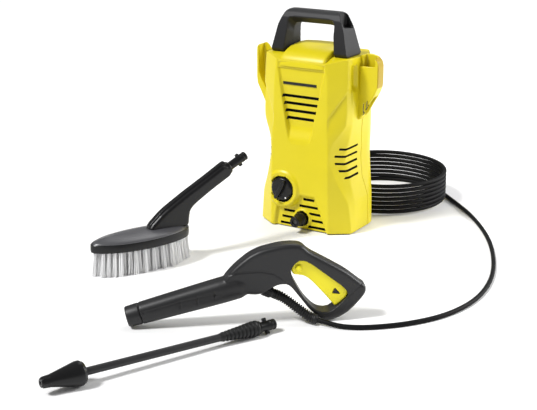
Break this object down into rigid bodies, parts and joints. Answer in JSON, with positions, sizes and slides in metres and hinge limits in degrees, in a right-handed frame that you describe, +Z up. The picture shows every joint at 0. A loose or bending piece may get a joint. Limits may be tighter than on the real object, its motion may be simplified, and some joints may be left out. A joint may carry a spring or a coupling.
{
  "type": "pressure washer",
  "caption": "Compact upright pressure washer with carry handle and switch dial, its coiled high-pressure hose, trigger gun, rotary-nozzle lance and wash brush.",
  "frame": {"origin": "on the floor under the middle of the main unit's base", "axes": "+Z up; the main unit's front, with its dial and water inlet, faces -Y; +X is to the right seen from the front"},
  "size_m": [0.6618, 1.276, 0.443],
  "materials": {
    "yellow_shell": "satin moulded yellow plastic",
    "dark_handle": "charcoal textured plastic",
    "black_plastic": "black satin plastic",
    "gun_plastic": "dark grey fine grain plastic",
    "trigger_yellow": "bright yellow plastic",
    "hose_rubber": "black hose cover",
    "soft_rubber": "black rubber",
    "bristle": "white nylon bristles",
    "steel": "machined steel",
    "aluminium": "die-cast aluminium",
    "brass": "machined brass",
    "laminated_steel": "lacquered steel laminations",
    "copper": "enamelled copper wire",
    "carbon": "sintered carbon",
    "grey_plastic": "glass-filled grey plastic",
    "white_gear": "natural acetal plastic",
    "filter_mesh": "fine plastic mesh"
  },
  "bodies": {
    "machine": {"cable_gland": "soft_rubber", "carbon_brushes": "carbon", "carry_handle": "dark_handle", "casing_screws": "steel", "cylinder_head": "aluminium", "field_windings": "copper", "front_shell": "yellow_shell", "gearbox_housing": "grey_plastic", "gun_hose_connector": "black_plastic", "gun_nose_collar": "black_plastic", "gun_screws": "steel", "gun_shell_left": "gun_plastic", "gun_shell_right": "gun_plastic", "gun_strain_relief": "soft_rubber", "gun_valve_body": "brass", "gun_water_tube": "black_plastic", "head_bolts": "steel", "hose_coil": "hose_rubber", "hose_end_coupling": "brass", "hose_lead": "hose_rubber", "hose_outlet": "black_plastic", "hose_tail": "hose_rubber", "inlet_filter": "filter_mesh", "left_accessory_holder": "yellow_shell", "motor_bottom_cap": "aluminium", "motor_stator": "laminated_steel", "motor_top_cap": "grey_plastic", "piston_springs": "steel", "pressure_switch": "black_plastic", "pump_body": "aluminium", "pump_pistons": "steel", "pump_valves": "brass", "rear_shell": "yellow_shell", "right_accessory_holder": "yellow_shell", "rotor_bearings": "steel", "rubber_feet": "soft_rubber", "suppressor_capacitor": "grey_plastic", "switch_block": "black_plastic", "thrust_bearing": "steel", "trigger_pin": "steel", "valve_spring": "steel", "water_inlet_nipple": "black_plastic"},
    "switch_dial": {"switch_dial": "black_plastic"},
    "rotor": {"rotor_shaft": "steel", "rotor_core": "laminated_steel", "commutator": "copper", "cooling_fan": "grey_plastic", "pinion_gear": "steel"},
    "swash": {"swash_gear": "white_gear"},
    "trigger": {"gun_trigger": "trigger_yellow"},
    "trigger_lock": {"trigger_lock": "black_plastic"},
    "valve_pin": {"valve_pin": "steel"},
    "lance": {"lance_tube": "black_plastic", "lance_boot": "soft_rubber", "lance_bayonet": "black_plastic", "nozzle_cone": "black_plastic"},
    "nozzle_rotor": {"nozzle_rotor": "brass"},
    "brush": {"brush_head": "black_plastic", "brush_handle": "black_plastic", "brush_bristles": "bristle"}
  },
  "joints": [
    {"name": "dial_turn", "type": "hinge", "parent": "machine", "child": "switch_dial", "pos_m": [-0.039, -0.07, 0.083], "axis": [0, 1, 0], "range_deg": [0, 90]},
    {"name": "rotor_spin", "type": "hinge", "parent": "machine", "child": "rotor", "pos_m": [0.0132, 0.004, 0.18], "axis": [0, 0, 1], "continuous": true},
    {"name": "swash_spin", "type": "hinge", "parent": "machine", "child": "swash", "pos_m": [-0.013, 0.004, 0.117], "axis": [0, 0, 1], "continuous": true},
    {"name": "trigger_pull", "type": "hinge", "parent": "machine", "child": "trigger", "pos_m": [0.2315, -0.47578, 0.096], "axis": [0.617, -0.787, 0], "range_deg": [0, 9], "stiffness_Nm_per_rad": 4, "springref_deg": -5.73},
    {"name": "trigger_lock_slide", "type": "slide", "parent": "trigger", "child": "trigger_lock", "axis": [-0.617, 0.787, 0], "range_m": [0, 0.004]},
    {"name": "valve_pin_slide", "type": "slide", "parent": "machine", "child": "valve_pin", "axis": [-0.787, -0.617, 0], "range_m": [0, 0.0016]},
    {"name": "lance_lift", "type": "slide", "parent": "machine", "child": "lance", "axis": [0, 0, 1], "range_m": [0, 0.3]},
    {"name": "nozzle_spin", "type": "hinge", "parent": "lance", "child": "nozzle_rotor", "pos_m": [0.07312, -0.8784, 0.01992], "axis": [0.403, 0.915, -0.0194], "continuous": true},
    {"name": "brush_lift", "type": "slide", "parent": "machine", "child": "brush", "axis": [0, 0, 1], "range_m": [0, 0.3]}
  ],
  "couplings": [
    {"joint": "swash_spin", "follows": "rotor_spin", "ratio": -0.3},
    {"joint": "valve_pin_slide", "follows": "trigger_pull", "m_per_rad": 0.0085}
  ]
}
